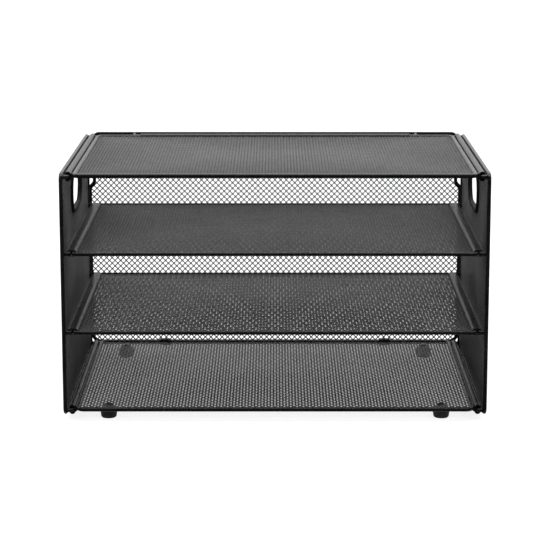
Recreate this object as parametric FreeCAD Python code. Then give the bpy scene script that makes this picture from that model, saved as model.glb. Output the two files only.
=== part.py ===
import FreeCAD, Part
import math
import os
from FreeCAD import Vector

# A folding four-level letter tray of steel wire and expanded-metal sheet.
# Two side panels lean over together on hinge rods that run in every level, after the back panel
# has been unclipped from the base tray and swung up on the top panel's rear wire.
# +X is to the right, +Y to the rear and +Z up. The origin is on the table, under the middle of the
# tray's box. All sizes are in millimetres.

# Overall sizes
WIDTH = 340.0
DEPTH = 242.0

# Heights of the four hinge lines above the table
BASE_HINGE_Z = 9.0
LOWER_SHELF_Z = 73.1
UPPER_SHELF_Z = 136.9
TOP_HINGE_Z = 198.5

# Wire
PANEL_WIRE = 3.2            # side loops, back loop, shelf loops and hinge rods
TRAY_WIRE = 3.8             # base loop and top loop
ROD_BEND = 2.2              # centre-line radius where a hinge rod turns out to its panel
BORE_CLEARANCE = 0.1        # round a hinge rod, on the radius
WIRE_GAP = 0.2              # between two wires that share a sleeve

# Expanded-metal sheets, with fewer and larger diamonds than the real ones, and as much open area
MESH_THICKNESS = 0.8
SIDE_MESH_THICKNESS = 0.7
MESH_CELL = 28.4            # from one diamond's centre to the next in its row, before rows are fitted
MESH_OPEN = 0.737           # an opening's diagonal as a share of its cell's
MESH_BORDER = 2.0           # left whole along the sheet's edges, and round whatever sits on it

# Side panels
SIDE_CORNER = 5.0
SIDE_BELOW_BASE_HINGE = 2.3
SIDE_ABOVE_TOP_HINGE = 1.8
ROD_INSET = 5.3             # from a side loop's plane to its hinge lines
ROD_FROM_POST = 1.0         # a rod meets its post this far inside the post's centre line

# Handle holes
HANDLE_LENGTH = 74.0
HANDLE_HEIGHT = 30.0
HANDLE_BELOW_TOP_HINGE = 26.5
RIM_WALL = 1.2
RIM_FLANGE = 3.0
RIM_OUTER_THICKNESS = 1.2
RIM_INNER_THICKNESS = 1.8
RIM_FIT = 0.2
RIM_EDGE = 0.5

# Hinge tubes of the base tray and the top panel
TUBE_WALL = 0.8
TUBE_HALF_RISE = 1.4        # half the distance between the centres of the tube's two round ends
END_PLAY = 0.3              # between a sleeve's or tube's end and the rod's bend
NECK_LENGTH = 3.0
NECK_FROM_WIRE = 3.2        # from the front or rear wire's centre line to the neck
NECK_HALF_AT_WIRE = 1.4
NECK_HALF_AT_TUBE = 2.6
NECK_INTO_TUBE = 0.7        # into the tube's wall

# Base tray and top panel loops
BASE_WIRE_RISE = 1.0        # from the base hinge line to the base loop
TOP_WIRE_RISE = 0.9         # from the top hinge line to the top loop
TRAY_CORNER = 5.0
TRAY_TO_TUBE = 0.4          # between a loop's side wire and its hinge tube

# Shelves
SHELF_CORNER = 3.0
SLEEVE_WALL = 0.9
SLEEVE_SEAM = 0.5

# Back panel
POST_TO_BACK = 0.4          # between the rear posts and the back loop
BACK_TOP_RISE = 1.9         # from the top panel's loop to the back loop's top wire
BACK_UPPER_INSET = 7.2      # from the side of the box to the loop's upper wires
BACK_LOWER_INSET = 3.2      # the same, below the joggle
JOGGLE_ABOVE_SHELF = 16.1   # from the upper shelf's hinge line to the joggle
JOGGLE_RISE = 4.0
JOGGLE_BEND = 5.0
BACK_TOP_CORNER = 5.0
BACK_BOTTOM_CORNER = 8.0
BACK_SLEEVE_LENGTH = 240.0
BACK_SLEEVE_WALL = 0.7
BACK_SLEEVE_PLAY = 0.05     # round each wire, on the radius
BACK_ROD_SPACING = 3.6
BACK_HINGE_TO_LOOP = 8.2    # from the top panel's rear wire to the back loop's plane
BACK_ROD_OVERHANG = 6.0
MESH_NOTCH_CLEARANCE = 0.3

# Clips between the back panel and the base tray
CLIP_WIDTH = 10.0
CLIP_INSET = 70.0           # from the side of the box
CLIP_WALL = 0.8
CLIP_PLAY = 0.15
CLIP_REACH = 1.0            # past the base wire's centre
CLIP_GRIP_PLAY = 0.05

# Feet and their rivets
FOOT_DIAMETER = 14.2
FOOT_SOLE_DIAMETER = 12.4
FOOT_SHOULDER_Z = 6.6
FOOT_RIM_Z = 7.6
FOOT_RIM_DIAMETER = 12.6
FOOT_NECK_DIAMETER = 8.0
FOOT_SOLE_CHAMFER = 0.8
FOOT_INSET = 35.4           # from the side of the box
FOOT_SETBACK = 16.0         # from the front of the box
RIVET_SHANK = 3.0
RIVET_HEAD = 7.0
RIVET_HEAD_HEIGHT = 1.2
RIVET_DEPTH = 5.8
RIVET_FIT = 0.1

# Places that follow from those sizes
FRONT = -DEPTH / 2
BACK_PLANE = DEPTH / 2 - CLIP_WALL - CLIP_GRIP_PLAY - PANEL_WIRE / 2
POST_FRONT_Y = FRONT + PANEL_WIRE / 2
POST_REAR_Y = BACK_PLANE - PANEL_WIRE - POST_TO_BACK
SIDE_X = WIDTH / 2 - PANEL_WIRE / 2
HINGE_X = SIDE_X - ROD_INSET
SIDE_BOTTOM_Z = BASE_HINGE_Z - SIDE_BELOW_BASE_HINGE
SIDE_TOP_Z = TOP_HINGE_Z + SIDE_ABOVE_TOP_HINGE
SIDE_MIDDLE_Y = (POST_FRONT_Y + POST_REAR_Y) / 2
HANDLE_Z = TOP_HINGE_Z - HANDLE_BELOW_TOP_HINGE
ROD_FRONT_Y = POST_FRONT_Y + ROD_FROM_POST
ROD_REAR_Y = POST_REAR_Y - ROD_FROM_POST
SLEEVE_FRONT_Y = ROD_FRONT_Y + ROD_BEND + END_PLAY
SLEEVE_REAR_Y = ROD_REAR_Y - ROD_BEND - END_PLAY
BORE_RADIUS = PANEL_WIRE / 2 + BORE_CLEARANCE
SLEEVE_RADIUS = BORE_RADIUS + SLEEVE_WALL
SHELF_WIRE_X = HINGE_X - PANEL_WIRE - WIRE_GAP
TUBE_RADIUS = BORE_RADIUS + TUBE_WALL
TRAY_WIRE_X = HINGE_X - TUBE_RADIUS - TRAY_TO_TUBE - TRAY_WIRE / 2
TRAY_FRONT_Y = FRONT + TRAY_WIRE / 2
BASE_WIRE_Z = BASE_HINGE_Z + BASE_WIRE_RISE
TOP_WIRE_Z = TOP_HINGE_Z + TOP_WIRE_RISE
BASE_REAR_Y = POST_REAR_Y + PANEL_WIRE / 2 - TRAY_WIRE / 2
TOP_REAR_Y = BACK_PLANE - BACK_HINGE_TO_LOOP
BACK_ROD_Y = TOP_REAR_Y + BACK_ROD_SPACING
BACK_TOP_Z = TOP_WIRE_Z + BACK_TOP_RISE
JOGGLE_BOTTOM_Z = UPPER_SHELF_Z + JOGGLE_ABOVE_SHELF
JOGGLE_TOP_Z = JOGGLE_BOTTOM_Z + JOGGLE_RISE
BACK_BORE_RADIUS = TRAY_WIRE / 2 + BACK_SLEEVE_PLAY
CLIP_RADIUS = TRAY_WIRE / 2 + CLIP_PLAY + CLIP_WALL
CLIP_X = WIDTH / 2 - CLIP_INSET
FOOT_X = WIDTH / 2 - FOOT_INSET


def bend(before, corner, after, radius):
    """The start, middle and end of the arc that rounds a corner of a bent wire."""
    to_before = (before - corner).normalize()
    to_after = (after - corner).normalize()
    half_angle = to_before.getAngle(to_after) / 2
    run = radius / math.tan(half_angle)
    inward = (to_before + to_after).normalize()
    middle = corner + inward * (radius / math.sin(half_angle) - radius)
    return corner + to_before * run, middle, corner + to_after * run


def centre_line(points, radii, closed):
    """A bent wire's centre line: straight runs between its points, joined by tangent arcs."""
    count = len(points)
    corners = range(count) if closed else range(1, count - 1)
    bends = {i: bend(points[i - 1], points[i], points[(i + 1) % count], radii[i]) for i in corners}
    edges = []
    for i in range(count if closed else count - 1):
        if i in bends:
            edges.append(Part.Arc(*bends[i]).toShape())
        following = (i + 1) % count
        run_start = bends[i][2] if i in bends else points[i]
        run_end = bends[following][0] if following in bends else points[following]
        edges.append(Part.makeLine(run_start, run_end))
    return Part.Wire(edges)


def round_bar(path, diameter):
    """A round wire along a centre line: a cylinder on each run and a part of a torus in each bend."""
    pieces = []
    for edge in path.Edges:
        start = edge.valueAt(edge.FirstParameter)
        ahead = edge.tangentAt(edge.FirstParameter)
        if isinstance(edge.Curve, Part.Circle):
            disc = Part.Face(Part.Wire([Part.makeCircle(diameter / 2, start, ahead)]))
            turn = math.degrees(edge.Length / edge.Curve.Radius)
            pieces.append(disc.revolve(edge.Curve.Center, edge.Curve.Axis, turn))
        else:
            pieces.append(Part.makeCylinder(diameter / 2, edge.Length, start, ahead))
    return pieces[0].multiFuse(pieces[1:])


def wrapped_bar(first, first_radius, second, second_radius, length):
    """A solid bar whose section is a tight wrap round two circles; length is a vector."""
    span = second - first
    ahead = Vector(span).normalize()
    across = Vector(length).normalize().cross(ahead)
    lean = (first_radius - second_radius) / span.Length
    rise = math.sqrt(1 - lean ** 2)
    first_side, second_side = (
        {side: centre + (ahead * lean + across * (rise * side)) * radius for side in (1, -1)}
        for centre, radius in ((first, first_radius), (second, second_radius))
    )
    edges = [
        Part.makeLine(first_side[1], second_side[1]),
        Part.Arc(second_side[1], second + ahead * second_radius, second_side[-1]).toShape(),
        Part.makeLine(second_side[-1], first_side[-1]),
        Part.Arc(first_side[-1], first - ahead * first_radius, first_side[1]).toShape(),
    ]
    return Part.Face(Part.Wire(edges)).extrude(length)


def sleeve(first, first_bore, second, second_bore, wall, length):
    """A strip of sheet rolled round two parallel wires."""
    outside = wrapped_bar(first, first_bore + wall, second, second_bore + wall, length)
    return outside.cut(wrapped_bar(first, first_bore, second, second_bore, length))


def box_between(low, high):
    """A box from its lowest to its highest corner."""
    size = high - low
    return Part.makeBox(size.x, size.y, size.z, low)


def level_loop(half_width, front_y, rear_y, z, corner):
    """The closed centre line of a level's wire."""
    points = [
        Vector(-half_width, front_y, z),
        Vector(half_width, front_y, z),
        Vector(half_width, rear_y, z),
        Vector(-half_width, rear_y, z),
    ]
    return centre_line(points, [corner] * 4, closed=True)


def sheet_inside(loop, wire_diameter, thickness):
    """A sheet that fills a flat wire loop, up to the wire's inner side; thickness is a vector."""
    return Part.Face(loop.makeOffset2D(-wire_diameter / 2)).extrude(thickness)


def diamonds(corner, first_side, second_side, through):
    """Prisms in staggered rows that fill a rectangle, cut in half along its border."""
    columns = 2 * round(first_side.Length / MESH_CELL)
    rows = 2 * round(second_side.Length / MESH_CELL)
    first_step = first_side * (1 / columns)
    second_step = second_side * (1 / rows)
    prisms = []
    for i in range(columns + 1):
        for j in range(i % 2, rows + 1, 2):
            centre = corner + first_step * i + second_step * j
            inside = [
                (i > 0, centre - first_step * MESH_OPEN),
                (j > 0, centre - second_step * MESH_OPEN),
                (i < columns, centre + first_step * MESH_OPEN),
                (j < rows, centre + second_step * MESH_OPEN),
            ]
            points = [point for is_inside, point in inside if is_inside]
            if len(points) == 2:
                points.append(centre)
            prisms.append(Part.Face(Part.makePolygon(points + points[:1])).extrude(through))
    return prisms


def pierced(sheet, area, kept=()):
    """A flat sheet with rows of diamond openings in an area, clear of its border and of what is kept.

    The area is a box, as thick as the sheet; what is kept is a list of shapes.
    """
    lengths = [Vector(area.XLength, 0, 0), Vector(0, area.YLength, 0), Vector(0, 0, area.ZLength)]
    through, first_side, second_side = sorted(lengths, key=lambda length: length.Length)
    first_border = Vector(first_side).normalize() * MESH_BORDER
    second_border = Vector(second_side).normalize() * MESH_BORDER
    corner = Vector(area.XMin, area.YMin, area.ZMin) + first_border + second_border - through
    rows = diamonds(corner, first_side - first_border * 2, second_side - second_border * 2, through * 3)
    prisms = [
        prism for prism in rows if all(prism.distToShape(shape)[0] > MESH_BORDER for shape in kept)
    ]
    return sheet.cut(Part.makeCompound(prisms))


# Side panels


def side_loop(side):
    x = side * SIDE_X
    points = [
        Vector(x, POST_FRONT_Y, SIDE_BOTTOM_Z),
        Vector(x, POST_REAR_Y, SIDE_BOTTOM_Z),
        Vector(x, POST_REAR_Y, SIDE_TOP_Z),
        Vector(x, POST_FRONT_Y, SIDE_TOP_Z),
    ]
    return centre_line(points, [SIDE_CORNER] * 4, closed=True)


def handle_outline(side, growth, start_x, end_x):
    """A bar with the handle hole's long round outline, grown all round, between two planes."""
    half_span = (HANDLE_LENGTH - HANDLE_HEIGHT) / 2
    radius = HANDLE_HEIGHT / 2 + growth
    front = Vector(side * start_x, SIDE_MIDDLE_Y - half_span, HANDLE_Z)
    rear = Vector(side * start_x, SIDE_MIDDLE_Y + half_span, HANDLE_Z)
    return wrapped_bar(front, radius, rear, radius, Vector(side * (end_x - start_x), 0, 0))


def side_mesh(side):
    half = SIDE_MESH_THICKNESS / 2
    sheet = sheet_inside(side_loop(side), PANEL_WIRE, Vector(side * SIDE_MESH_THICKNESS, 0, 0))
    sheet.translate(Vector(-side * half, 0, 0))
    rim = handle_outline(side, RIM_FLANGE, SIDE_X - half, SIDE_X + half)
    sheet = pierced(sheet, sheet.BoundBox, [rim])
    return sheet.cut(handle_outline(side, RIM_WALL + RIM_FIT, SIDE_X - half, SIDE_X + half))


def end_edges(bar, end_x):
    """The edges round one end of a bar that runs along X."""
    return [edge for edge in bar.Edges if math.isclose(edge.CenterOfMass.x, end_x)]


def handle_outer_rim(side):
    """The flange outside the mesh, with the collar that lines the hole."""
    sheet_outer = SIDE_X + SIDE_MESH_THICKNESS / 2
    sheet_inner = SIDE_X - SIDE_MESH_THICKNESS / 2
    face = sheet_outer + RIM_OUTER_THICKNESS
    collar_end = sheet_inner - RIM_INNER_THICKNESS
    flange = handle_outline(side, RIM_FLANGE, sheet_outer, face)
    flange = flange.makeChamfer(RIM_EDGE, end_edges(flange, side * face))
    collar = handle_outline(side, RIM_WALL, collar_end, face - RIM_EDGE)
    return flange.fuse(collar).cut(handle_outline(side, 0, collar_end, face))


def handle_inner_rim(side):
    """The ring that snaps on the collar inside the mesh."""
    sheet_inner = SIDE_X - SIDE_MESH_THICKNESS / 2
    face = sheet_inner - RIM_INNER_THICKNESS
    ring = handle_outline(side, RIM_FLANGE, sheet_inner, face)
    ring = ring.makeChamfer(RIM_EDGE, end_edges(ring, side * face))
    return ring.cut(handle_outline(side, RIM_WALL + RIM_FIT / 2, sheet_inner, face))


def hinge_rod(side, z, frame, mesh):
    """A rod along one hinge line, turned out at both ends and welded to the posts."""
    points = [
        Vector(side * SIDE_X, ROD_FRONT_Y, z),
        Vector(side * HINGE_X, ROD_FRONT_Y, z),
        Vector(side * HINGE_X, ROD_REAR_Y, z),
        Vector(side * SIDE_X, ROD_REAR_Y, z),
    ]
    rod = round_bar(centre_line(points, [ROD_BEND] * 4, closed=False), PANEL_WIRE)
    return rod.cut(frame).cut(mesh)


def side_panel(name, side):
    frame = round_bar(side_loop(side), PANEL_WIRE)
    mesh = side_mesh(side)
    return {
        f"{name}_frame": frame,
        f"{name}_mesh": mesh,
        f"{name}_handle_outer_rim": handle_outer_rim(side),
        f"{name}_handle_inner_rim": handle_inner_rim(side),
        f"{name}_base_rod": hinge_rod(side, BASE_HINGE_Z, frame, mesh),
        f"{name}_lower_rod": hinge_rod(side, LOWER_SHELF_Z, frame, mesh),
        f"{name}_upper_rod": hinge_rod(side, UPPER_SHELF_Z, frame, mesh),
        f"{name}_top_rod": hinge_rod(side, TOP_HINGE_Z, frame, mesh),
    }


# Shelves


def shelf_sleeve(side, z):
    """The rolled strip that holds a shelf's side wire and turns on a side panel's rod."""
    length = Vector(0, SLEEVE_REAR_Y - SLEEVE_FRONT_Y, 0)
    rod = Vector(side * HINGE_X, SLEEVE_FRONT_Y, z)
    wire = Vector(side * SHELF_WIRE_X, SLEEVE_FRONT_Y, z)
    strip = sleeve(rod, BORE_RADIUS, wire, BORE_RADIUS, SLEEVE_WALL, length)
    seam_x = side * (HINGE_X + SHELF_WIRE_X) / 2
    seam = box_between(
        Vector(seam_x - SLEEVE_SEAM / 2, SLEEVE_FRONT_Y, z - SLEEVE_RADIUS),
        Vector(seam_x + SLEEVE_SEAM / 2, SLEEVE_REAR_Y, z),
    )
    return strip.cut(seam)


def shelf_mesh(z):
    """The shelf's floor, between the two sleeves."""
    half_width = SHELF_WIRE_X - SLEEVE_RADIUS
    low = Vector(-half_width, POST_FRONT_Y + PANEL_WIRE / 2, z)
    high = Vector(half_width, POST_REAR_Y - PANEL_WIRE / 2, z + MESH_THICKNESS)
    sheet = box_between(low, high)
    return pierced(sheet, sheet.BoundBox)


def shelf(name, z):
    loop = level_loop(SHELF_WIRE_X, POST_FRONT_Y, POST_REAR_Y, z, SHELF_CORNER)
    return {
        f"{name}_frame": round_bar(loop, PANEL_WIRE),
        f"{name}_mesh": shelf_mesh(z),
        f"{name}_left_sleeve": shelf_sleeve(-1, z),
        f"{name}_right_sleeve": shelf_sleeve(1, z),
    }


# Base tray and top panel


def neck(side, tube_z, wire_z, start_y):
    """The web that joins a hinge tube's inner wall to the loop beside it."""
    tube_x = side * (HINGE_X - TUBE_RADIUS + NECK_INTO_TUBE)
    wire_x = side * TRAY_WIRE_X
    corners = [
        Vector(wire_x, start_y, wire_z - NECK_HALF_AT_WIRE),
        Vector(tube_x, start_y, tube_z - NECK_HALF_AT_TUBE),
        Vector(tube_x, start_y, tube_z + NECK_HALF_AT_TUBE),
        Vector(wire_x, start_y, wire_z + NECK_HALF_AT_WIRE),
    ]
    web = Part.Face(Part.makePolygon(corners + corners[:1]))
    return web.extrude(Vector(0, NECK_LENGTH, 0))


def hinge_tube(side, tube_z, wire_z, rear_y, frame):
    """A flat-oval tube that turns on a side panel's rod, with the necks that weld it to its loop."""
    length = Vector(0, SLEEVE_REAR_Y - SLEEVE_FRONT_Y, 0)
    low = Vector(side * HINGE_X, SLEEVE_FRONT_Y, tube_z - TUBE_HALF_RISE)
    high = Vector(side * HINGE_X, SLEEVE_FRONT_Y, tube_z + TUBE_HALF_RISE)
    front_neck = neck(side, tube_z, wire_z, TRAY_FRONT_Y + NECK_FROM_WIRE)
    rear_neck = neck(side, tube_z, wire_z, rear_y - NECK_FROM_WIRE - NECK_LENGTH)
    outside = wrapped_bar(low, TUBE_RADIUS, high, TUBE_RADIUS, length)
    bore = wrapped_bar(low, BORE_RADIUS, high, BORE_RADIUS, length)
    return outside.multiFuse([front_neck, rear_neck]).cut(bore).cut(frame)


def base_mesh(loop):
    sheet = sheet_inside(loop, TRAY_WIRE, Vector(0, 0, MESH_THICKNESS))
    seats = []
    for place in foot_places():
        middle = place + Vector(0, 0, BASE_WIRE_Z)
        seats.append(Part.makeCylinder(FOOT_NECK_DIAMETER / 2, MESH_THICKNESS, middle))
        sheet = sheet.cut(Part.makeCylinder(RIVET_SHANK / 2 + RIVET_FIT, MESH_THICKNESS, middle))
    return pierced(sheet, sheet.BoundBox, seats)


def base_tray():
    loop = level_loop(TRAY_WIRE_X, TRAY_FRONT_Y, BASE_REAR_Y, BASE_WIRE_Z, TRAY_CORNER)
    frame = round_bar(loop, TRAY_WIRE)
    return {
        "base_frame": frame,
        "base_mesh": base_mesh(loop),
        "base_left_tube": hinge_tube(-1, BASE_HINGE_Z, BASE_WIRE_Z, BASE_REAR_Y, frame),
        "base_right_tube": hinge_tube(1, BASE_HINGE_Z, BASE_WIRE_Z, BASE_REAR_Y, frame),
    }


def top_mesh(loop):
    """The cover sheet, with its rear edge cut back where the back panel's sleeve turns."""
    sheet = sheet_inside(loop, TRAY_WIRE, Vector(0, 0, MESH_THICKNESS))
    notch_y = TOP_REAR_Y - BACK_BORE_RADIUS - BACK_SLEEVE_WALL - MESH_NOTCH_CLEARANCE
    half_length = BACK_SLEEVE_LENGTH / 2 + MESH_NOTCH_CLEARANCE
    notch = box_between(
        Vector(-half_length, notch_y, TOP_WIRE_Z),
        Vector(half_length, TOP_REAR_Y, TOP_WIRE_Z + MESH_THICKNESS),
    )
    area = sheet.BoundBox
    area.YMax = notch_y
    return pierced(sheet, area).cut(notch)


def top_panel():
    loop = level_loop(TRAY_WIRE_X, TRAY_FRONT_Y, TOP_REAR_Y, TOP_WIRE_Z, TRAY_CORNER)
    frame = round_bar(loop, TRAY_WIRE)
    return {
        "top_frame": frame,
        "top_mesh": top_mesh(loop),
        "top_left_tube": hinge_tube(-1, TOP_HINGE_Z, TOP_WIRE_Z, TOP_REAR_Y, frame),
        "top_right_tube": hinge_tube(1, TOP_HINGE_Z, TOP_WIRE_Z, TOP_REAR_Y, frame),
    }


# Feet


def foot_places():
    """The middle of each foot on the table, front left first."""
    front_y = FRONT + FOOT_SETBACK
    rear_y = 2 * SIDE_MIDDLE_Y - front_y
    return [Vector(x, y, 0) for y in (front_y, rear_y) for x in (-FOOT_X, FOOT_X)]


def foot():
    """A turned rubber foot, with a blind hole for its rivet."""
    profile = [
        Vector(0, 0, 0),
        Vector(FOOT_SOLE_DIAMETER / 2 - FOOT_SOLE_CHAMFER, 0, 0),
        Vector(FOOT_SOLE_DIAMETER / 2, 0, FOOT_SOLE_CHAMFER),
        Vector(FOOT_DIAMETER / 2, 0, FOOT_SHOULDER_Z),
        Vector(FOOT_RIM_DIAMETER / 2, 0, FOOT_RIM_Z),
        Vector(FOOT_NECK_DIAMETER / 2, 0, FOOT_RIM_Z),
        Vector(FOOT_NECK_DIAMETER / 2, 0, BASE_WIRE_Z),
        Vector(0, 0, BASE_WIRE_Z),
    ]
    body = Part.Face(Part.makePolygon(profile + profile[:1])).revolve(Vector(), Vector(0, 0, 1), 360)
    depth = RIVET_DEPTH + RIVET_FIT
    hole = Part.makeCylinder(RIVET_SHANK / 2 + RIVET_FIT / 2, depth, Vector(0, 0, BASE_WIRE_Z - depth))
    return body.cut(hole)


def rivet():
    """A round-headed rivet, seated on the base mesh."""
    head_z = BASE_WIRE_Z + MESH_THICKNESS
    head_radius = RIVET_HEAD / 2
    dome_radius = (head_radius ** 2 + RIVET_HEAD_HEIGHT ** 2) / (2 * RIVET_HEAD_HEIGHT)
    dome = Part.makeSphere(dome_radius, Vector(0, 0, head_z + RIVET_HEAD_HEIGHT - dome_radius))
    head = dome.common(Part.makeCylinder(head_radius * 2, RIVET_HEAD_HEIGHT, Vector(0, 0, head_z)))
    shank_length = MESH_THICKNESS + RIVET_DEPTH
    return head.fuse(Part.makeCylinder(RIVET_SHANK / 2, shank_length, Vector(0, 0, head_z - shank_length)))


def feet():
    names = ["front_left", "front_right", "rear_left", "rear_right"]
    parts = {}
    rivets = []
    for name, place in zip(names, foot_places()):
        parts[f"foot_{name}"] = foot().translated(place)
        rivets.append(rivet().translated(place))
    parts["foot_rivets"] = Part.makeCompound(rivets)
    return parts


# Back panel


def back_loop():
    upper = WIDTH / 2 - BACK_UPPER_INSET
    lower = WIDTH / 2 - BACK_LOWER_INSET
    right = [
        (upper, BACK_TOP_Z, BACK_TOP_CORNER),
        (upper, JOGGLE_TOP_Z, JOGGLE_BEND),
        (lower, JOGGLE_BOTTOM_Z, JOGGLE_BEND),
        (lower, BASE_WIRE_Z, BACK_BOTTOM_CORNER),
    ]
    corners = right + [(-x, z, radius) for x, z, radius in reversed(right)]
    points = [Vector(x, BACK_PLANE, z) for x, z, _ in corners]
    return centre_line(points, [radius for _, _, radius in corners], closed=True)


def back_sleeve():
    """The rolled strip that turns on the top panel's rear wire and grips the back's own rod."""
    start_x = -BACK_SLEEVE_LENGTH / 2
    top_wire = Vector(start_x, TOP_REAR_Y, TOP_WIRE_Z)
    rod = Vector(start_x, BACK_ROD_Y, TOP_WIRE_Z)
    rod_bore = PANEL_WIRE / 2 + BACK_SLEEVE_PLAY
    length = Vector(BACK_SLEEVE_LENGTH, 0, 0)
    return sleeve(top_wire, BACK_BORE_RADIUS, rod, rod_bore, BACK_SLEEVE_WALL, length)


def back_rod(frame, mesh):
    """The rod in the sleeve, turned up at both ends and welded to the back loop's top wire."""
    half_length = BACK_SLEEVE_LENGTH / 2 + BACK_ROD_OVERHANG
    left_turn = Vector(-half_length, BACK_ROD_Y, TOP_WIRE_Z)
    right_turn = Vector(half_length, BACK_ROD_Y, TOP_WIRE_Z)
    turned_up = Vector(0, BACK_PLANE - BACK_ROD_Y, BACK_TOP_Z - TOP_WIRE_Z)
    turned_up -= Vector(turned_up).normalize() * (PANEL_WIRE / 4)
    points = [left_turn + turned_up, left_turn, right_turn, right_turn + turned_up]
    rod = round_bar(centre_line(points, [ROD_BEND] * 4, closed=False), PANEL_WIRE)
    return rod.cut(frame).cut(mesh)


def back_mesh(loop):
    """The back sheet, with its lower edge cut back at each clip."""
    sheet = sheet_inside(loop, PANEL_WIRE, Vector(0, MESH_THICKNESS, 0))
    sheet.translate(Vector(0, -MESH_THICKNESS / 2, 0))
    half_width = CLIP_WIDTH / 2 + CLIP_PLAY
    notches = [
        box_between(
            Vector(x - half_width, BACK_PLANE - MESH_THICKNESS, BASE_WIRE_Z),
            Vector(x + half_width, BACK_PLANE + MESH_THICKNESS, BASE_WIRE_Z + CLIP_RADIUS + CLIP_PLAY),
        )
        for x in (-CLIP_X, CLIP_X)
    ]
    area = sheet.BoundBox
    area.XMax = WIDTH / 2 - BACK_UPPER_INSET - PANEL_WIRE / 2
    area.XMin = -area.XMax
    return pierced(sheet, area, notches).cut(Part.makeCompound(notches))


def back_clip(x):
    """A clip pushed on the back loop's bottom wire, with two leaves round the base wire."""
    jaw = TRAY_WIRE / 2 + CLIP_PLAY
    tip_y = BASE_REAR_Y - CLIP_REACH
    across = Vector(CLIP_WIDTH, 0, 0)
    start_x = x - CLIP_WIDTH / 2
    back_wire = Vector(start_x, BACK_PLANE, BASE_WIRE_Z)
    body = Part.makeCylinder(CLIP_RADIUS, CLIP_WIDTH, back_wire, across).fuse(
        box_between(
            Vector(start_x, tip_y, BASE_WIRE_Z - CLIP_RADIUS),
            Vector(start_x + CLIP_WIDTH, BACK_PLANE, BASE_WIRE_Z + CLIP_RADIUS),
        )
    )
    jaws = box_between(
        Vector(start_x, tip_y, BASE_WIRE_Z - jaw),
        Vector(start_x + CLIP_WIDTH, BACK_PLANE - PANEL_WIRE / 2, BASE_WIRE_Z + jaw),
    )
    grip = Part.makeCylinder(PANEL_WIRE / 2 + CLIP_GRIP_PLAY, CLIP_WIDTH, back_wire, across)
    flat_back = box_between(
        Vector(start_x, DEPTH / 2, BASE_WIRE_Z - CLIP_RADIUS),
        Vector(start_x + CLIP_WIDTH, BACK_PLANE + CLIP_RADIUS, BASE_WIRE_Z + CLIP_RADIUS),
    )
    return body.cut(jaws).cut(grip).cut(flat_back)


def back_panel():
    loop = back_loop()
    frame = round_bar(loop, PANEL_WIRE)
    mesh = back_mesh(loop)
    return {
        "back_frame": frame,
        "back_mesh": mesh,
        "back_hinge_sleeve": back_sleeve(),
        "back_hinge_rod": back_rod(frame, mesh),
        "back_clips": Part.makeCompound([back_clip(-CLIP_X), back_clip(CLIP_X)]),
    }


def all_parts():
    return {
        **base_tray(),
        **feet(),
        **side_panel("left", -1),
        **side_panel("right", 1),
        **shelf("lower_shelf", LOWER_SHELF_Z),
        **shelf("upper_shelf", UPPER_SHELF_Z),
        **top_panel(),
        **back_panel(),
    }


os.makedirs("parts", exist_ok=True)
for node, shape in all_parts().items():
    shape.exportStep(f"parts/{node}.step")
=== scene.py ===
"""The looks of a folding four-level letter tray: mesh sheets, coats, welds, studio and camera."""
import math

import bpy
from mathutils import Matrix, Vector, noise


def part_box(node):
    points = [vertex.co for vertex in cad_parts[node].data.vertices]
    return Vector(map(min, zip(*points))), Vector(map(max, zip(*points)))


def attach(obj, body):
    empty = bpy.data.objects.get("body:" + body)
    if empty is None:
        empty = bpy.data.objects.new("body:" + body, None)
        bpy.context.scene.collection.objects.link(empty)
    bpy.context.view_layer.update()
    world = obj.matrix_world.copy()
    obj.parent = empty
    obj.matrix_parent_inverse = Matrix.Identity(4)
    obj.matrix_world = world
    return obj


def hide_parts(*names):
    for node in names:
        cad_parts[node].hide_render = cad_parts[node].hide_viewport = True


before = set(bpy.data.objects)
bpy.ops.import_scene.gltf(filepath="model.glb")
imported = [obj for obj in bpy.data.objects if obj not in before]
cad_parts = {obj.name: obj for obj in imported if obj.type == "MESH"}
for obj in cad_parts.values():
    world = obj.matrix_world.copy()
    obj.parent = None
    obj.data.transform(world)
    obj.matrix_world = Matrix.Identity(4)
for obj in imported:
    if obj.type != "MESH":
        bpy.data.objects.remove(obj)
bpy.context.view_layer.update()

# All lengths are in metres, unless a name ends in MM.

# Expanded-metal sheets
DIAMOND = 0.0051                # diagonal of one opening, between the middles of its strands
STRAND_WIDTH = 0.00095
STRAND_THICKNESS = 0.00064
STRAND_CHAMFER = 0.0001
FAMILY_STEP = 0.00003           # one family of strands is this much thinner than the other, each side
INTO_WIRE = 0.001               # how far a sheet's edge runs into the wire round it
INTO_SLEEVE = 0.0007            # how far a shelf sheet's ends run into the sleeves
UNDER_FLANGE = 0.001            # from a handle rim's outline inward to the cut edge of the sheet
HOLE_ROUND = 0.499              # a handle hole's corner radius to its height: almost a half circle
SLEEVE_NOTCH_PLAY = 0.0003      # round the hinge sleeve at the rear of the top
CLIP_NOTCH_PLAY = 0.00015       # round each clip at the foot of the back
CLIP_WIDTH = 0.010
SIDE_CORNER = 0.0044
TRAY_CORNER = 0.0041
SHELF_CORNER = 0                # sharp
BACK_TOP_CORNER = 0.0044
BACK_BOTTOM_CORNER = 0.0074
BACK_UPPER_STEP = 0.004         # the back's upper wires stand this far inside its lower ones
JOGGLE_BOTTOM_Z = 0.153         # the step lies between these heights
JOGGLE_TOP_Z = 0.157
ARC_STEPS = 5                   # straight steps in one rounded corner

# Welds, where a hinge rod meets a post
WIRE_RADIUS = 0.0016
WELD_RADIUS = 0.0006
WELD_TURNS = 36                 # steps of a bead round its rod
WELD_SIDES = 8                  # sides of the bead's own section
WELD_RIPPLE = 0.3               # how far a ripple swells the bead, to its radius
WELD_RIPPLE_SCALE = 900         # how closely the ripples follow one another, per metre

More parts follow.
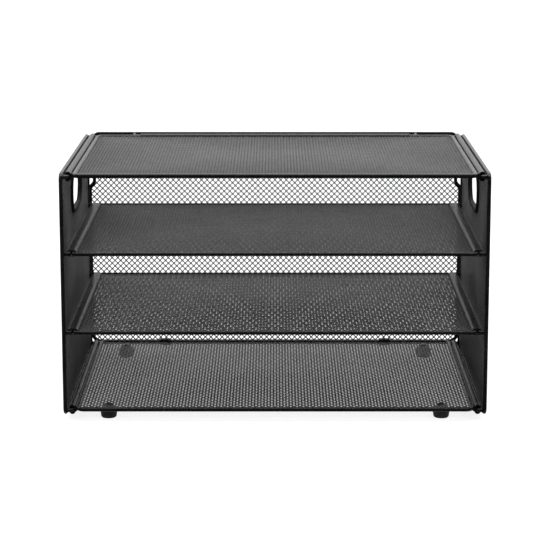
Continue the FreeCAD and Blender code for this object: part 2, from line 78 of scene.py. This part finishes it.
# Coats
NOISE_SPAN = (0.3, 0.7)         # the part of a noise's range that is stretched over the whole
TONE_DETAIL = 3
GLOSS_DETAIL = 4
GLOSS_FINENESS = 3              # gloss changes over patches this many times as fine as the tones'
GRAIN_DETAIL = 2
GRAIN_STRENGTH = 0.6

# Studio
WHITE = (1, 1, 1, 1)

# Floor
FLOOR_SIDE = 60.0
FLOOR_TONE = (0.35, 0.35, 0.35, 1)
FLOOR_ROUGHNESS = 0.7
FLOOR_SPECULAR = 0.2
FLOOR_GLOW = 0.8

# Softbox
SOFTBOX_PLACE = (0, -0.45, 1.9)
SOFTBOX_AIM = (0, 0, 0.1)
SOFTBOX_WIDTH = 2.4
SOFTBOX_DEPTH = 0.25
SOFTBOX_WATTS = 18

# Room: how bright it is, and how bright it looks in a gloss, by Y and Z of the gloss's direction
ROOM_LIGHT = 1.08
FRONT_GLOSS = 0.03              # before the tray
REAR_GLOSS = 0.94               # behind it
FRONT_TO_REAR = (-0.05, 0.25)
UPPER_GLOSS = 3.0               # times as bright high up
LEVEL_TO_UPPER = (0.4, 0.6)
BELOW_GLOSS = 0.4               # times as bright below
BELOW_TO_LEVEL = (-0.3, 0.0)

# Camera
CAMERA_PLACE = (0, -1.721, 0.446)
CAMERA_AIM = (0, 0, 0.0958)
LENS_MM = 135.0
SENSOR_MM = 36


# Coats


def ramp(tree, value, span, low, high):
    """A value that goes from low to high while the given one goes over its span."""
    node = tree.nodes.new("ShaderNodeMapRange")
    node.inputs["From Min"].default_value = span[0]
    node.inputs["From Max"].default_value = span[1]
    node.inputs["To Min"].default_value = low
    node.inputs["To Max"].default_value = high
    tree.links.new(value, node.inputs["Value"])
    return node.outputs["Result"]


def surface_noise(tree, scale, detail, low, high):
    """A noise over the surface, from low to high."""
    place = tree.nodes.new("ShaderNodeTexCoord")
    node = tree.nodes.new("ShaderNodeTexNoise")
    node.inputs["Scale"].default_value = scale
    node.inputs["Detail"].default_value = detail
    tree.links.new(place.outputs["Object"], node.inputs["Vector"])
    return ramp(tree, node.outputs["Fac"], NOISE_SPAN, low, high)


def coat(name, dark, light, patch_scale, roughness, specular, grain_scale, grain_height):
    """A finish of two close tones in patches, uneven gloss, and a fine grain in relief."""
    material = bpy.data.materials.new(name)
    material.use_nodes = True
    tree = material.node_tree
    shader = tree.nodes["Principled BSDF"]
    shader.inputs["Specular IOR Level"].default_value = specular
    tones = tree.nodes.new("ShaderNodeMix")
    tones.data_type = "RGBA"
    tones.inputs["A"].default_value = (*dark, 1)
    tones.inputs["B"].default_value = (*light, 1)
    tree.links.new(surface_noise(tree, patch_scale, TONE_DETAIL, 0, 1), tones.inputs["Factor"])
    tree.links.new(tones.outputs["Result"], shader.inputs["Base Color"])
    gloss = surface_noise(tree, patch_scale * GLOSS_FINENESS, GLOSS_DETAIL, *roughness)
    tree.links.new(gloss, shader.inputs["Roughness"])
    bump = tree.nodes.new("ShaderNodeBump")
    bump.inputs["Strength"].default_value = GRAIN_STRENGTH
    bump.inputs["Distance"].default_value = grain_height
    tree.links.new(surface_noise(tree, grain_scale, GRAIN_DETAIL, 0, 1), bump.inputs["Height"])
    tree.links.new(bump.outputs["Normal"], shader.inputs["Normal"])
    return material


def wire_coat():
    """Semi-gloss powder coat on the loops of wire and the hinge rods."""
    return coat(
        "powder_coated_wire", dark=(0.002, 0.002, 0.002), light=(0.005, 0.005, 0.0052),
        patch_scale=60, roughness=(0.22, 0.30), specular=0.45, grain_scale=900, grain_height=1e-5,
    )


def mesh_coat_painted_sheen():
    """Satin powder coat on the expanded-metal sheets, with painted sheen: their black is drawn far
    lighter than the wires' same coat.
    """
    return coat(
        # Painted sheen: tones some ten times as light as the wires', standing in for the light the
        # sheets catch at a grazing view.
        "powder_coated_mesh_painted_sheen", dark=(0.024, 0.024, 0.024), light=(0.038, 0.038, 0.0383),
        patch_scale=45, roughness=(0.30, 0.42), specular=0.9, grain_scale=1300, grain_height=2e-5,
    )


def sheet_coat():
    """Semi-gloss powder coat on the hinge tubes and sleeves."""
    return coat(
        "powder_coated_sheet", dark=(0.002, 0.002, 0.002), light=(0.005, 0.005, 0.0052),
        patch_scale=60, roughness=(0.26, 0.34), specular=0.4, grain_scale=800, grain_height=2e-5,
    )


def rim_coat():
    """Matt plastic of the handle rims."""
    return coat(
        "moulded_rim", dark=(0.004, 0.004, 0.004), light=(0.007, 0.007, 0.007),
        patch_scale=80, roughness=(0.55, 0.65), specular=0.12, grain_scale=2600, grain_height=3e-5,
    )


def clip_coat():
    """Satin plastic of the back's clips."""
    return coat(
        "moulded_clip", dark=(0.005, 0.005, 0.005), light=(0.009, 0.009, 0.009),
        patch_scale=120, roughness=(0.36, 0.46), specular=0.4, grain_scale=2600, grain_height=3e-5,
    )


def rubber_coat():
    """Matt rubber of the feet."""
    return coat(
        "foot_rubber", dark=(0.008, 0.008, 0.008), light=(0.016, 0.0157, 0.0155),
        patch_scale=150, roughness=(0.58, 0.74), specular=0.4, grain_scale=3200, grain_height=5e-5,
    )


def rivet_coat():
    """Semi-gloss coat on the rivets that hold the feet."""
    return coat(
        "coated_rivet", dark=(0.004, 0.004, 0.004), light=(0.008, 0.008, 0.008),
        patch_scale=120, roughness=(0.26, 0.36), specular=0.5, grain_scale=1500, grain_height=2e-5,
    )


def coats():
    """The coat of each material slot."""
    return {
        "wire_steel": wire_coat(),
        "mesh_steel": mesh_coat_painted_sheen(),
        "sheet_steel": sheet_coat(),
        "rim_plastic": rim_coat(),
        "clip_plastic": clip_coat(),
        "foot_rubber": rubber_coat(),
        "rivet_steel": rivet_coat(),
    }


def dress_cad(materials):
    """Every CAD piece gets the coat of its own slot."""
    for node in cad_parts.values():
        for slot in node.material_slots:
            slot.material = materials[slot.material.name]


# Pieces


def add_piece(name, vertices, faces, material, body):
    """A mesh that rides on a body. Its four-sided faces are shaded smooth, and caps stay flat."""
    mesh = bpy.data.meshes.new(name)
    mesh.from_pydata(vertices, [], faces)
    mesh.materials.append(material)
    for face in mesh.polygons:
        face.use_smooth = len(face.vertices) == 4
    piece = bpy.data.objects.new(name, mesh)
    bpy.context.scene.collection.objects.link(piece)
    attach(piece, body)
    return piece


# Outlines of sheets


def corner_arc(corner, before, after, radius):
    """The points of an arc that rounds the corner between its two neighbours."""
    to_before = (before - corner).normalized()
    to_after = (after - corner).normalized()
    half_angle = to_before.angle(to_after) / 2
    centre = corner + (to_before + to_after).normalized() * (radius / math.sin(half_angle))
    start = corner + to_before * (radius / math.tan(half_angle)) - centre
    turn = start.angle_signed(corner + to_after * (radius / math.tan(half_angle)) - centre)
    points = []
    for step in range(ARC_STEPS + 1):
        angle = -turn * step / ARC_STEPS
        spoke = Vector((
            start.x * math.cos(angle) - start.y * math.sin(angle),
            start.x * math.sin(angle) + start.y * math.cos(angle),
        ))
        points.append(centre + spoke)
    return points


def rounded(corners):
    """A closed outline through corners (u, v, radius). A corner without radius stays sharp."""
    outline = []
    for i, (u, v, radius) in enumerate(corners):
        corner = Vector((u, v))
        before = Vector(corners[i - 1][:2])
        after = Vector(corners[(i + 1) % len(corners)][:2])
        outline += corner_arc(corner, before, after, radius) if radius else [corner]
    return outline


def rectangle(low, high, radius):
    """A rectangle from its low corner to its high one, rounded at its corners."""
    corners = ((low.x, low.y), (high.x, low.y), (high.x, high.y), (low.x, high.y))
    return rounded([(u, v, radius) for u, v in corners])


def widened(low, high, along_u, along_v):
    """The two corners of a rectangle, moved apart by margins at every edge."""
    margin = Vector((along_u, along_v))
    return low - margin, high + margin


# Strands


def spans_inside(outlines, start, ahead):
    """The stretches of a line that lie within the outlines; an outline inside another is a hole."""
    across = Vector((-ahead.y, ahead.x))
    crossings = []
    for outline in outlines:
        for i, end in enumerate(outline):
            begin = outline[i - 1]
            begin_side = (begin - start).dot(across)
            end_side = (end - start).dot(across)
            if (begin_side > 0) != (end_side > 0):
                point = begin.lerp(end, begin_side / (begin_side - end_side))
                crossings.append((point - start).dot(ahead))
    crossings.sort()
    return list(zip(crossings[::2], crossings[1::2]))


def strand_section(width, thickness):
    """The chamfered section of a strand, as (aside, up) pairs."""
    side, top = width / 2, thickness / 2
    inner_side, inner_top = side - STRAND_CHAMFER, top - STRAND_CHAMFER
    return [
        (side, -inner_top), (side, inner_top), (inner_side, top), (-inner_side, top),
        (-side, inner_top), (-side, -inner_top), (-inner_side, -top), (inner_side, -top),
    ]


def add_strand(vertices, faces, section, ends, across, place):
    """A straight strand: its section at both ends, the sides between them, and two caps."""
    first = len(vertices)
    sides = len(section)
    for end in ends:
        for aside, up in section:
            spot = end + across * aside
            vertices.append(place(spot.x, spot.y, up))
    for i in range(sides):
        following = (i + 1) % sides
        faces.append((first + i, first + following, first + sides + following, first + sides + i))
    faces.append(tuple(reversed(range(first, first + sides))))
    faces.append(tuple(range(first + sides, first + 2 * sides)))


def expanded_sheet(outlines, place):
    """The strands of a flattened diamond mesh within the outlines, in two crossing families.

    place turns (u, v, up) into a point; up is measured from the middle of the sheet.
    """
    points = [point for outline in outlines for point in outline]
    middle = (Vector(map(min, zip(*points))) + Vector(map(max, zip(*points)))) / 2
    reach = max((point - middle).length for point in points)
    pitch = DIAMOND / math.sqrt(2)
    count = math.ceil(reach / pitch)
    vertices, faces = [], []
    for slant, thickness in ((1, STRAND_THICKNESS), (-1, STRAND_THICKNESS - 2 * FAMILY_STEP)):
        ahead = Vector((1, slant)).normalized()
        across = Vector((-ahead.y, ahead.x))
        section = strand_section(STRAND_WIDTH, thickness)
        for k in range(-count, count + 1):
            # The sheet's middle lies half way between two strands.
            start = middle + across * ((k + 0.5) * pitch)
            for near, far in spans_inside(outlines, start, ahead):
                ends = (start + ahead * near, start + ahead * far)
                add_strand(vertices, faces, section, ends, across, place)
    return vertices, faces


# Expanded-metal sheets


def add_sheet(node, body, outlines, place, material):
    """The strands of a sheet take the place of its CAD node."""
    vertices, faces = expanded_sheet(outlines, place)
    piece = add_piece(f"{node}_strands", vertices, faces, material, body)
    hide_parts(node)


def add_level_sheet(node, body, outline, material):
    """A level sheet, half way up its CAD node. Its outline is in X and Y."""
    low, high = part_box(node)
    middle_z = (low.z + high.z) / 2
    add_sheet(node, body, [outline], lambda u, v, up: (u, v, middle_z + up), material)


def base_sheet(material):
    """The base tray's sheet, with wire all round."""
    low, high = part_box("base_mesh")
    outline = rectangle(*widened(low.xy, high.xy, INTO_WIRE, INTO_WIRE), TRAY_CORNER)
    add_level_sheet("base_mesh", "base", outline, material)


def top_sheet(material):
    """The top's sheet, notched at the rear for the back's hinge sleeve."""
    low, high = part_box("top_mesh")
    left, right = low.x - INTO_WIRE, high.x + INTO_WIRE
    front, rear = low.y - INTO_WIRE, high.y + INTO_WIRE
    sleeve_low, sleeve_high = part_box("back_hinge_sleeve")
    notch_x = sleeve_high.x + SLEEVE_NOTCH_PLAY
    notch_y = sleeve_low.y - SLEEVE_NOTCH_PLAY
    outline = rounded([
        (left, front, TRAY_CORNER), (right, front, TRAY_CORNER), (right, rear, TRAY_CORNER),
        (notch_x, rear, 0), (notch_x, notch_y, 0), (-notch_x, notch_y, 0), (-notch_x, rear, 0),
        (left, rear, TRAY_CORNER),
    ])
    add_level_sheet("top_mesh", "top_panel", outline, material)


def shelf_sheets(material):
    """The two shelves' sheets, whose ends run into the hinge sleeves."""
    for shelf in ("lower_shelf", "upper_shelf"):
        low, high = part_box(f"{shelf}_mesh")
        outline = rectangle(*widened(low.xy, high.xy, INTO_SLEEVE, INTO_WIRE), SHELF_CORNER)
        add_level_sheet(f"{shelf}_mesh", shelf, outline, material)


def side_sheets(material):
    """The two side panels' sheets, each with the hole of its handle."""
    for side in ("left", "right"):
        low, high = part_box(f"{side}_mesh")
        outline = rectangle(*widened(low.yz, high.yz, INTO_WIRE, INTO_WIRE), SIDE_CORNER)
        rim_low, rim_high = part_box(f"{side}_handle_outer_rim")
        hole_low, hole_high = widened(rim_low.yz, rim_high.yz, -UNDER_FLANGE, -UNDER_FLANGE)
        hole = rectangle(hole_low, hole_high, (hole_high.y - hole_low.y) * HOLE_ROUND)
        middle_x = (low.x + high.x) / 2
        add_sheet(
            f"{side}_mesh", f"{side}_side", [outline, hole],
            lambda u, v, up: (middle_x + up, u, v), material,
        )


def back_sheet(material):
    """The back's sheet, notched at the foot for its clips, and narrower above the step in its wires."""
    low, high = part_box("back_mesh")
    _, clip_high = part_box("back_clips")
    lower_x = high.x + INTO_WIRE
    upper_x = lower_x - BACK_UPPER_STEP
    top, bottom = high.z + INTO_WIRE, low.z - INTO_WIRE
    notch_top = clip_high.z + CLIP_NOTCH_PLAY
    notch_outer = clip_high.x + CLIP_NOTCH_PLAY
    notch_inner = notch_outer - CLIP_WIDTH - 2 * CLIP_NOTCH_PLAY
    right = [
        (notch_inner, bottom, 0), (notch_inner, notch_top, 0),
        (notch_outer, notch_top, 0), (notch_outer, bottom, 0),
        (lower_x, bottom, BACK_BOTTOM_CORNER), (lower_x, JOGGLE_BOTTOM_Z, 0),
        (upper_x, JOGGLE_TOP_Z, 0), (upper_x, top, BACK_TOP_CORNER),
    ]
    outline = rounded(right + [(-u, v, radius) for u, v, radius in reversed(right)])
    middle_y = (low.y + high.y) / 2
    add_sheet("back_mesh", "back_panel", [outline], lambda u, v, up: (u, middle_y - up, v), material)


# Welds


def add_bead(vertices, faces, centre, outward):
    """A rippled fillet round a rod that runs along X, where it meets an upright wire centred there."""
    first = len(vertices)
    for turn in range(WELD_TURNS):
        angle = math.tau * turn / WELD_TURNS
        spoke = Vector((0, math.cos(angle), math.sin(angle)))
        seat = centre + spoke * WIRE_RADIUS
        seat.x -= outward * WIRE_RADIUS * abs(spoke.z)
        ripple = noise.noise(seat * WELD_RIPPLE_SCALE)
        thickness = WELD_RADIUS * (1 + WELD_RIPPLE * ripple)
        for side in range(WELD_SIDES):
            lean = math.tau * side / WELD_SIDES
            vertices.append(seat + thickness * (spoke * math.cos(lean) + Vector((math.sin(lean), 0, 0))))
    for turn in range(WELD_TURNS):
        this_row = first + turn * WELD_SIDES
        next_row = first + (turn + 1) % WELD_TURNS * WELD_SIDES
        for side in range(WELD_SIDES):
            next_side = (side + 1) % WELD_SIDES
            faces.append((this_row + side, next_row + side, next_row + next_side, this_row + next_side))


def side_welds(material):
    """Beads at both ends of every side panel's hinge rods."""
    for name, outward in (("left", -1), ("right", 1)):
        vertices, faces = [], []
        for level in ("base", "lower", "upper", "top"):
            low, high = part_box(f"{name}_{level}_rod")
            x = outward * max(abs(low.x), abs(high.x))
            for y in (low.y + WIRE_RADIUS, high.y - WIRE_RADIUS):
                add_bead(vertices, faces, Vector((x, y, (low.z + high.z) / 2)), outward)
        add_piece(f"{name}_rod_welds", vertices, faces, material, f"{name}_side")


# Studio


def floor_finish():
    """A matt grey that also glows, so that the floor shows white and only faintly shaded."""
    material = bpy.data.materials.new("floor")
    material.use_nodes = True
    shader = material.node_tree.nodes["Principled BSDF"]
    shader.inputs["Base Color"].default_value = FLOOR_TONE
    shader.inputs["Roughness"].default_value = FLOOR_ROUGHNESS
    shader.inputs["Specular IOR Level"].default_value = FLOOR_SPECULAR
    shader.inputs["Emission Color"].default_value = WHITE
    shader.inputs["Emission Strength"].default_value = FLOOR_GLOW
    return material


def add_floor():
    """A floor far wider than the view, which doesn't show in the gloss of the tray."""
    half = FLOOR_SIDE / 2
    corners = [(-half, -half, 0), (half, -half, 0), (half, half, 0), (-half, half, 0)]
    mesh = bpy.data.meshes.new("floor")
    mesh.from_pydata(corners, [], [(0, 1, 2, 3)])
    mesh.materials.append(floor_finish())
    floor = bpy.data.objects.new("floor", mesh)
    floor.visible_glossy = False
    bpy.context.scene.collection.objects.link(floor)


def set_up(thing, place, aim):
    """Put a lamp or a camera at its place in the scene, looking at its aim."""
    thing.location = place
    thing.rotation_euler = (Vector(aim) - Vector(place)).to_track_quat("-Z", "Y").to_euler()
    bpy.context.scene.collection.objects.link(thing)


def add_softbox():
    """A long, narrow light over the tray, which the camera doesn't see."""
    lamp = bpy.data.lights.new("overhead", "AREA")
    lamp.shape = "RECTANGLE"
    lamp.size = SOFTBOX_WIDTH
    lamp.size_y = SOFTBOX_DEPTH
    lamp.energy = SOFTBOX_WATTS
    softbox = bpy.data.objects.new("overhead", lamp)
    softbox.visible_camera = False
    set_up(softbox, SOFTBOX_PLACE, SOFTBOX_AIM)


def product(tree, first, second):
    """One value times another."""
    node = tree.nodes.new("ShaderNodeMath")
    node.operation = "MULTIPLY"
    tree.links.new(first, node.inputs[0])
    tree.links.new(second, node.inputs[1])
    return node.outputs["Value"]


def room_in_gloss(tree):
    """How bright the room looks in a gloss: bright behind the tray, more so high up, less below."""
    direction = tree.nodes.new("ShaderNodeTexCoord")
    parts = tree.nodes.new("ShaderNodeSeparateXYZ")
    tree.links.new(direction.outputs["Generated"], parts.inputs["Vector"])
    behind = ramp(tree, parts.outputs["Y"], FRONT_TO_REAR, FRONT_GLOSS, REAR_GLOSS)
    above = ramp(tree, parts.outputs["Z"], LEVEL_TO_UPPER, 1, UPPER_GLOSS)
    below = ramp(tree, parts.outputs["Z"], BELOW_TO_LEVEL, BELOW_GLOSS, 1)
    return product(tree, product(tree, behind, above), below)


def add_room():
    """An even white room, but for what gloss sees of it."""
    world = bpy.data.worlds.new("studio")
    bpy.context.scene.world = world
    world.use_nodes = True
    tree = world.node_tree
    rays = tree.nodes.new("ShaderNodeLightPath")
    strength = tree.nodes.new("ShaderNodeMix")
    strength.inputs["A"].default_value = ROOM_LIGHT
    tree.links.new(room_in_gloss(tree), strength.inputs["B"])
    tree.links.new(rays.outputs["Is Glossy Ray"], strength.inputs["Factor"])
    background = tree.nodes["Background"]
    background.inputs["Color"].default_value = WHITE
    tree.links.new(strength.outputs["Result"], background.inputs["Strength"])


def add_camera():
    """A long lens from the front and a little above."""
    lens = bpy.data.cameras.new("camera")
    lens.lens = LENS_MM
    lens.sensor_width = SENSOR_MM
    camera = bpy.data.objects.new("camera", lens)
    set_up(camera, CAMERA_PLACE, CAMERA_AIM)
    bpy.context.scene.camera = camera


materials = coats()
dress_cad(materials)
base_sheet(materials["mesh_steel"])
top_sheet(materials["mesh_steel"])
shelf_sheets(materials["mesh_steel"])
side_sheets(materials["mesh_steel"])
back_sheet(materials["mesh_steel"])
side_welds(materials["wire_steel"])
add_floor()
add_softbox()
add_room()
add_camera()
bpy.context.scene.view_settings.view_transform = "Standard"
